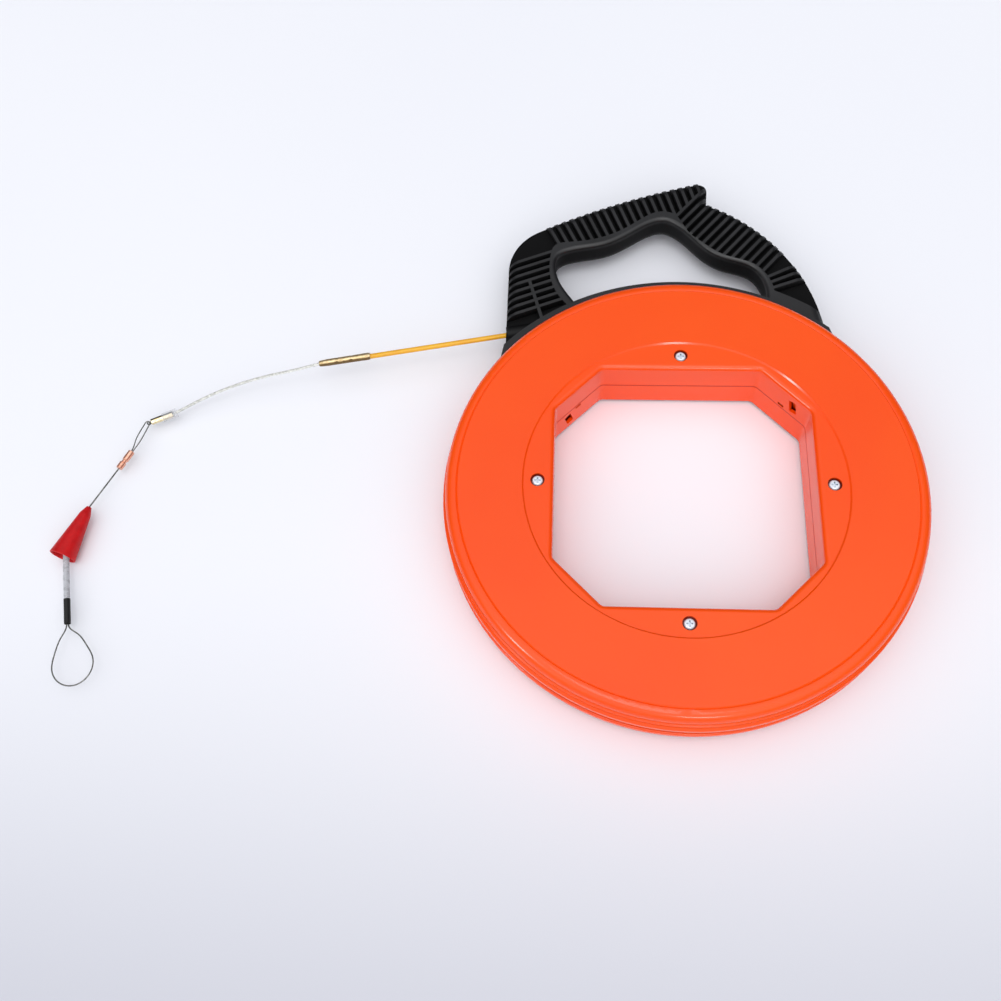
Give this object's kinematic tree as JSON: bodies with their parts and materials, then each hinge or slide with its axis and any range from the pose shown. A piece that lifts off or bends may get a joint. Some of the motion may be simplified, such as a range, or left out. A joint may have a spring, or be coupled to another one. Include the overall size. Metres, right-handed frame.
{
  "type": "fish tape reel",
  "caption": "Flat round cable-pulling reel with an eight-sided hand hole, a ribbed carry handle that slides round the rim slot, and a leader with a cone and a wire noose.",
  "frame": {"origin": "centre of the reel's rear face, on the reel's axis, where it rests on a table", "axes": "+Z along the reel's axis, out of the front face; +Y from the reel's centre towards the carry handle; the tape leaves towards -X"},
  "size_m": [0.5182, 0.3691, 0.042],
  "materials": {
    "shell_plastic": "glossy orange moulding",
    "screw_steel": "zinc plated",
    "tape_jacket": "satin yellow jacket",
    "ferrule_brass": "crimped, dull",
    "grip_plastic": "fine satin black",
    "cable_steel": "stranded",
    "wire_steel": "drawn wire",
    "crimp_copper": "bare copper",
    "cone_plastic": "satin red",
    "clear_tube": "cloudy clear vinyl",
    "black_tube": "heat-shrunk, satin"
  },
  "bodies": {
    "reel": {"front_shell": "shell_plastic", "rear_shell": "shell_plastic", "shell_screws": "screw_steel", "tape_coil": "tape_jacket", "tape_tail": "tape_jacket", "tail_ferrule": "ferrule_brass"},
    "handle": {"handle": "grip_plastic"},
    "tape": {"tape_lead": "tape_jacket", "tape_ferrule": "ferrule_brass", "leader_cable": "cable_steel", "head_ferrule": "ferrule_brass", "head_sleeve": "clear_tube", "head_eye": "wire_steel"},
    "puller": {"hitch_loop": "wire_steel", "copper_crimp": "crimp_copper", "core_wire": "wire_steel", "clear_sleeve": "clear_tube", "black_sleeve": "black_tube", "noose_crimp": "ferrule_brass", "noose_loop": "wire_steel"},
    "cone": {"pull_cone": "cone_plastic"}
  },
  "joints": [
    {"name": "handle_orbit", "type": "hinge", "parent": "reel", "child": "handle", "pos_m": [0, 0, 0.021], "axis": [0, 0, 1], "continuous": true},
    {"name": "tape_feed", "type": "slide", "parent": "handle", "child": "tape", "axis": [-0.9823, -0.1874, 0], "range_m": [-0.08, 0.045]},
    {"name": "leader_swing", "type": "hinge", "parent": "tape", "child": "puller", "pos_m": [-0.33451, 0.05082, 0.0083], "axis": [0, 0, 1], "range_deg": [-60, 35]},
    {"name": "cone_slide", "type": "slide", "parent": "puller", "child": "cone", "axis": [0.454, 0.891, 0], "range_m": [0, 0.028]}
  ]
}
